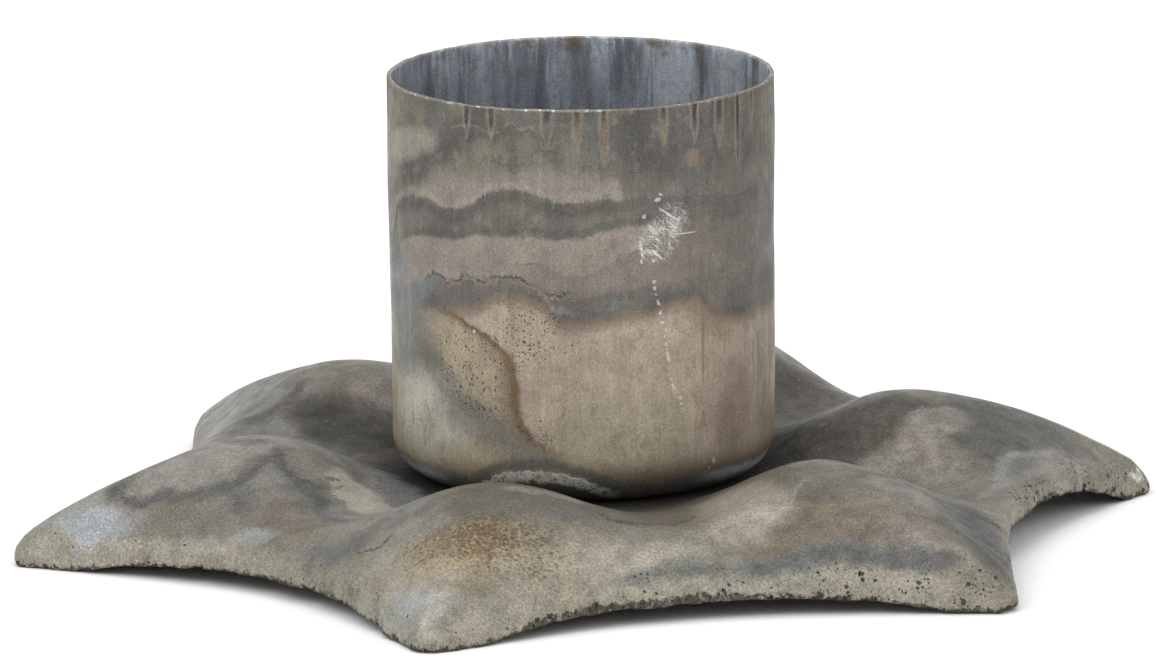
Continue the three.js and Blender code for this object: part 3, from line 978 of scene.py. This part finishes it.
def lowerWallLayers(wall):  # beige and cream, browner on the right
    along, chart, drift = wall.along, wall.chart, wall.drift
    level = wall.level + wall.fringe * 0.3
    below = fade(level - drawnLine(along, cupLines["tideFoot"]), 0, -1.1)
    yield "beige", below
    yield "cream", below * fade(level, 12.5, 9, 0.85) * fade(abs(along - 2.5), 7, 3)
    yield "dun", below * fade(along + drift * 2, 5.5, 10, 0.85) * wall.front
    yield "sepia", below * fade(abs(along - 8), 0.14, 0.03, 0.6) * fade(level, 10.6, 12)
    yield from spotLayers(chart, cupSpots["lower"])

    # the yellowed, pitted corner that the brown arc shuts in
    arc = drawnLine(level, cupLines["brownArc"])
    aside = along + drift * 0.4 + wall.crumble - arc
    reach = fade(level, 6.8, 8.6) * fade(level, 16, 15.2)
    leftOfArc = fade(aside, 0.2, -0.5) * fade(level, 15.9, 15.1)
    yield "straw", leftOfArc * fade(along, -30, -18, 0.75)
    yield from spotLayers(chart, cupSpots["corner"])
    yield "sepia", fade(aside, 0.8, 0.1) * fade(aside, -1.4, -0.2, 0.7) * reach
    yield "brown", fade(abs(aside - 0.1), 0.5, 0.1, 0.75) * reach


def farLeftSheenLayers(wall):  # painted reflection: a blue-grey sheen band with upright brushed streaks, and a bright painted highlight streak up the side
    side = fade(wall.along, -12, -14.6) * fade(wall.along, -26, -19)
    band = fade(wall.level, 20.5, 18) * fade(wall.level, 10, 12, 0.7)
    yield "mist", side * band
    yield "linen", side * fade(wall.streaks, 0.52, 0.62, 0.3)
    # painted highlight: a thin bright streak up the left side
    streak = fade(abs(wall.along + wall.drift + 17.2), 0.8, 0.1, 0.5) * fade(wall.cloud, 0.4, 0.55)
    yield "linen", streak * fade(wall.height, 8, 12)


def paintFoot(wall, colour):  # the round bottom edge: darker towards the foot (dark patina plus painted shade where it sits in the star's dish), with a painted highlight line along the bend, rust and a chalky crust
    tint = cupPaint
    along, crumble = wall.along, wall.crumble
    level = wall.height + wall.drift * 0.7 + crumble
    colour = paint(colour, tint["sepia"], fade(level, 7.2, 5.6, 0.7) * fade(along, -1, 2) * wall.front)
    # painted shade round the foot, over dark patina
    colour = paint(colour, tint["murk"], fade(level, 6, 4.9, 0.9))
    # painted reflection: a thin bluish highlight along the bend on both sides
    sides = fade(abs(along + 1), 8, 11, 0.85)
    colour = paint(colour, tint["reflectionBlue"], fade(abs(level - 5), 0.6, 0.05) * sides)
    for centre in ((-13.6, 5.7), (-10, 5.5), (4.6, 5.6), (22, 5.6), (-27, 5.2)):
        rust = spot(wall.chart, centre, (0.6, 0.26), -20, 0.7, 0.7)
        colour = paint(colour, tint["rust"], rust * fade(wall.cloud, 0.4, 0.55))
    over = wall.height + crumble * 1.2 + wall.drift * 0.3 - drawnLine(along, cupLines["crustTop"])
    reach = fade(abs(along + 2.6), 5.4, 3.8)
    colour = paint(colour, tint["murk"], fade(abs(over - 0.45), 0.6, 0.1, 0.8) * reach)
    colour = paint(colour, tint["soot"], fade(over, -0.5, -0.9, 0.5) * reach)
    crust = fade(over, 0.05, -0.1) * fade(over, -0.9, -0.55) * reach
    return paint(colour, tint["chalk"], crust * fade(lumps(wall.place, 0.4, 3, 0.7), 0.36, 0.5)), crust


def runLayers(wall):  # streaks that ran down from the rim: a sooty slit with a drop of colour below
    shaky = wall.along + wall.crumble * 0.7
    level = wall.height + wall.crumble * 1.5
    for start, low, wide, split, name in cupRuns:
        aside = abs(shaky - start) + fade(level, low + 1.1, low, wide)
        drop = fade(aside, wide * 1.3, wide * 0.4, 0.75)
        yield "linen", fade(abs(aside - wide * 1.2), 0.16, 0.02, 0.3) * fade(level, low - 0.3, low)
        yield name, drop
        slit = fade(level, split - 0.6, split + 0.5) * fade(aside, wide, wide * 0.3)
        yield "soot", drop * slit
    yield from spotLayers(wall.chart, cupSpots["runs"])
    right = fade(abs(wall.along - 15.6), 5, 2.6) * fade(level, 6, 12)
    yield "umber", right * fade(wall.streaks, 0.5, 0.6, 0.6)


def slashes(facing, turn, width, length):  # noise drawn out into scratches of one direction
    drawn = facing.node("ShaderNodeMapping", {"vector_type": "TEXTURE"}, {
        "Vector": facing, "Rotation": (math.radians(turn), 0, 0), "Scale": (1, length, width)})
    return lumps(drawn, 1, 1)


def cupScuffs(wall):  # a tangle of scratches, bare scrapes round it and a trail of chips below
    heading = photoFront() + cupShape["scuffPlace"] / cupShape["rimRadius"]
    turned = {"Vector": wall.place, "Rotation": (0, 0, -heading)}
    facing = wall.place.node("ShaderNodeMapping", sockets=turned)
    tangle = fade(slashes(facing, -42, 0.09, 1.1), 0.54, 0.7)
    tangle = tangle + fade(slashes(facing, 80, 0.07, 0.7), 0.57, 0.7)
    tangle = tangle + fade(slashes(facing, -10, 0.08, 0.8), 0.56, 0.7, 0.7)
    tangle = tangle + fade(lumps(wall.place, 0.5, 3, 0.7), 0.4, 0.7, 0.5)
    reach = spot(wall.chart, (5.7, 21.5), (0.9, 1), -30, 0.6)
    reach = reach + spot(wall.chart, (4.8, 20.4), (1, 1.1), -35, 0.6)
    scuffs = tangle * reach
    for start, level, length, width, turn in cupChips:
        scuffs = scuffs + spot((wall.along, wall.height), (start, level), (length, width), turn, 0.4)
    dash = fade(lumps(squeezed(wall.place, (0.4, 0.4, 1)), 0.2, 1), 0.5, 0.58)
    aside = abs(wall.along + wall.crumble - drawnLine(wall.height, cupLines["chips"]))
    trail = fade(aside, 0.14, 0.05) * dash * fade(wall.height, 8.6, 9) * fade(wall.height, 18.4, 17.8)
    return scuffs + trail


def insideLayers(wall):  # blue-grey and streaked, lighter on the right as painted light, with pale flares and brown stains below the rim, darker towards the bottom
    place, height, streaks = wall.place, wall.height, wall.streaks
    broad = lumps(squeezed(place, (1, 1, 0.12)), 2, 4, 0.6)
    yield "inside", fade(broad + (height - 24) * 0.01, 0.34, 0.62)
    # painted light where the right side of the inside is lit
    right = fade(wall.along, 37, 30) * fade(wall.along, 16, 22)
    yield "flare", right * fade(broad, 0.36, 0.56, 0.7)
    rim = fade(height + (broad - 0.5) * 6, 25.8, 28.6)
    flares = fade(lumps(squeezed(place, (1, 1, 0.2)), 0.7, 3, 0.6), 0.48, 0.62, 0.8)
    yield "flare", rim * flares
    yield "flare", fade(streaks, 0.6, 0.72, 0.4) * fade(height, 20, 26)
    yield "insideDeep", fade(streaks, 0.42, 0.3, 0.6)
    stains = fade(height + (lumps(place, 0.9, 3) - 0.5) * 2.4, 28, 28.5)
    yield "sepia", stains * fade(lumps(place, 3.2, 2), 0.52, 0.6, 0.7)
    yield "insideDeep", fade(height, 15, 5, 0.7)


def cupMetal():
    tint = cupPaint
    material, bench = startMaterial("cupMetal")
    wall = cupWall(bench)
    place, cloud, streaks = wall.place, wall.cloud, wall.streaks
    inside = bench.node("ShaderNodeAttribute", {"attribute_name": "inside"}, output="Fac")
    colour = tint["smoke"]
    for layers in (upperWallLayers, bandLayers, tideLayers, lowerWallLayers, farLeftSheenLayers):
        colour = paintLayers(colour, tint, layers(wall))
    colour, crust = paintFoot(wall, colour)

    # pits: coarse ones under the tide line, fine ones in the yellowed corner, a few everywhere
    field = spot(wall.chart, (-3.6, 14.8), (2.6, 2.4), 0, 0.5)
    field = field + spot(wall.chart, (-7.6, 11.8), (2, 3.6), 38, 0.5)
    field = field * 0.42 + spot(wall.chart, (-3, 8.4), (1.4, 1), 0, 0.6, 0.4) + crust * 0.3
    pits = scatter(place, 0.3, field + 0.03) + scatter(place, 0.16, field * 1.2 + 0.07)
    colour = paint(colour, tint["pore"], pits * 0.65)
    colour = paintLayers(colour, tint, runLayers(wall))
    scuffs = cupScuffs(wall)
    colour = paint(colour, tint["scuff"], scuffs * 0.7)
    lining = paintLayers(tint["insideDeep"], tint, insideLayers(wall))
    colour = paint(colour, lining, inside)

    # the thin rim, then brushing and grain over all
    rim = fade(wall.height + wall.crumble * 0.4, cupShape["rim"] - 0.14, cupShape["rim"] - 0.04)
    colour = paint(colour, tint["dun"], rim * 0.6)
    bare = fade(lumps(place, 0.4, 2), 0.56, 0.64) * fade(cloud, 0.42, 0.52)
    colour = paint(colour, tint["flare"], rim * bare)
    colour = paint(colour, tint["moss"], fade(lumps(place, 0.9, 4, 0.7), 0.52, 0.64, 0.3))
    blotch = lumps(squeezed(place, (1, 1, 0.6)), 1.3, 4, 0.7)
    colour = paint(colour, tint["umber"], fade(blotch, 0.54, 0.66, 0.35))
    blotch = lumps(squeezed(place, (1, 1, 0.7)), 1.1, 4, 0.7)
    colour = paint(colour, tint["linen"], fade(blotch, 0.58, 0.68, 0.25))
    sand = lumps(place, 0.11, 2, 0.7)
    colour = shade(colour, fade(streaks, 0.3, 0.7), 0.95, 1.05)
    colour = shade(colour, fade(wall.fringe, -0.2, 0.2), 0.95, 1.05)
    colour = shade(colour, fade(cloud, 0.3, 0.7), 0.92, 1.08)
    colour = shade(colour, fade(sand, 0.34, 0.66), 0.82, 1.18)

    roughness = mixValue(0.52, 0.38, fade(cloud, 0.35, 0.65)) + pits * 0.2 + crust * 0.2
    relief = sand * 0.4 + cloud * 0.5 + streaks * 0.3 - pits + scuffs * 0.3 + crust * 0.8
    finishMaterial(bench, colour, roughness, relief, 0.03, {
        "Metallic": 0.5, "Specular IOR Level": 0.25, "Specular Tint": (0.6, 0.58, 0.55, 1)})
    return material


makeCup(cupMetal())


# The rivet and its washer

rivetLow, rivetHigh = (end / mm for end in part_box("centre_rivet"))
washerLow, washerHigh = (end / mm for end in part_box("rivet_washer"))

rivetShape = {
    "shank": 2,
    "headRadius": rivetHigh.x,
    "headTop": rivetHigh.z,
    "headUnder": cupLow.z + cupShape["wall"],
    "headRound": 0.3,
    "tailRadius": 3.2,
    "tailTop": washerLow.z,
    "tailUnder": rivetLow.z,
    "tailRound": 0.4,
    "columns": 96,
    "ringStep": 0.2,
    "hammered": [(1.6, 0.05), (0.6, 0.02)],  # size across and depth
    "hammeredReach": 0.01,  # how close to the flat ends a place has to be to get it
}

washerShape = {"hole": 2.15, "radius": washerHigh.x, "edgeRound": 0.12, "columns": 96, "ringStep": 0.25}


def makeRivet(material):
    shape = rivetShape
    head, tail = shape["headRound"], shape["tailRound"]
    bm = bmesh.new()
    points = [(0, shape["tailUnder"])]
    points += corner(shape["tailRadius"] - tail, shape["tailUnder"] + tail, tail, -90, 0, 5)
    points += [(shape["tailRadius"], shape["tailTop"]), (shape["shank"], shape["tailTop"])]
    points += [(shape["shank"], shape["headUnder"]), (shape["headRadius"], shape["headUnder"])]
    points += corner(shape["headRadius"] - head, shape["headTop"] - head, head, 0, 90, 5)
    points += [(0, shape["headTop"])]
    subdivideLong(bm, drawProfile(bm, points, closed=False), shape["ringStep"])
    spinProfile(bm, shape["columns"])
    ends = (shape["tailUnder"], shape["headTop"])
    for vert in bm.verts:
        if min(abs(vert.co.z - end) for end in ends) <= shape["hammeredReach"]:
            vert.co.z -= abs(sum(depth * noise.noise(vert.co / size) for size, depth in shape["hammered"]))
    finishPiece(bm, "rivet", "centre_rivet", material)


def makeWasher(material):
    shape = washerShape
    bevel = shape["edgeRound"]
    bm = bmesh.new()
    points = [(shape["hole"], washerLow.z)]
    points += corner(shape["radius"] - bevel, washerLow.z + bevel, bevel, -90, 0, 3)
    points += corner(shape["radius"] - bevel, washerHigh.z - bevel, bevel, 0, 90, 3)
    points += [(shape["hole"], washerHigh.z)]
    subdivideLong(bm, drawProfile(bm, points, closed=True), shape["ringStep"])
    spinProfile(bm, shape["columns"])
    finishPiece(bm, "washer", "rivet_washer", material)


fixingPaint = {"steel": tone(120, 120, 118), "dull": tone(92, 88, 83), "rust": tone(130, 92, 62)}


def fixingMetal(name, rusted):  # plain steel, dulled in patches and rusted here and there
    tint = fixingPaint
    material, bench = startMaterial(name)
    place = millimetres(bench)
    cloud = lumps(place, 1.4, 4, 0.6)
    sand = lumps(place, 0.2, 2, 0.6)
    colour = paint(tint["steel"], tint["dull"], fade(cloud, 0.4, 0.6))
    rust = fade(lumps(place, 0.7, 4, 0.7), 0.68 - rusted, 0.8 - rusted)
    colour = paint(colour, tint["rust"], rust * 0.8)
    colour = shade(colour, fade(sand, 0.3, 0.7), 0.85, 1.12)
    roughness = mixValue(0.35, 0.55, fade(cloud, 0.4, 0.6)) + rust * 0.2
    finishMaterial(bench, colour, roughness, sand * 0.5 + cloud * 0.5 + rust * 0.4, 0.02, {"Metallic": 0.8})
    return material


makeRivet(fixingMetal("rivetMetal", 0.06))
makeWasher(fixingMetal("washerMetal", 0.14))


# Floor and light

studio = {
    "floorSize": 8,  # metres
    "floor": (0.93, 0.93, 0.93, 1),
    "world": (1, 1, 1, 1),
    "worldStrength": 0.8,
    "aim": 12,  # the height that the lamps point at
    # name, azimuth from the camera in degrees, elevation, distance, size in metres, watts
    "lamps": [("key", -40, 45, 1.4, 0.9, 6), ("fill", 50, 35, 1.4, 0.9, 3), ("top", 180, 78, 1.2, 0.8, 3)],
}


def makeStudio():
    bm = bmesh.new()
    bmesh.ops.create_grid(bm, x_segments=1, y_segments=1, size=studio["floorSize"] / 2)
    mesh = bpy.data.meshes.new("floor")
    bm.to_mesh(mesh)
    bm.free()
    material, bench = startMaterial("floorPaint")
    shader = bench.node("ShaderNodeBsdfDiffuse", sockets={"Color": studio["floor"]})
    bench.node("ShaderNodeOutputMaterial", sockets={"Surface": shader})
    mesh.materials.append(material)
    floor = bpy.data.objects.new("floor", mesh)
    bpy.context.scene.collection.objects.link(floor)

    world = bpy.data.worlds.new("studio")
    world.use_nodes = True
    world.node_tree.nodes["Background"].inputs["Color"].default_value = studio["world"]
    world.node_tree.nodes["Background"].inputs["Strength"].default_value = studio["worldStrength"]
    bpy.context.scene.world = world
    bpy.context.scene.view_settings.view_transform = "Standard"

    aim = Vector((0, 0, studio["aim"] * mm))
    for name, azimuth, elevation, distance, size, watts in studio["lamps"]:
        data = bpy.data.lights.new(name, "AREA")
        data.size = size
        data.energy = watts
        lamp = bpy.data.objects.new(name, data)
        heading = photoFront() + math.radians(azimuth)
        rise = math.radians(elevation)
        level = math.cos(rise)
        way = Vector((math.cos(heading) * level, math.sin(heading) * level, math.sin(rise)))
        lamp.location = aim + way * distance
        lamp.rotation_euler = way.to_track_quat("Z", "Y").to_euler()
        bpy.context.scene.collection.objects.link(lamp)


makeStudio()
print("floor and light set")
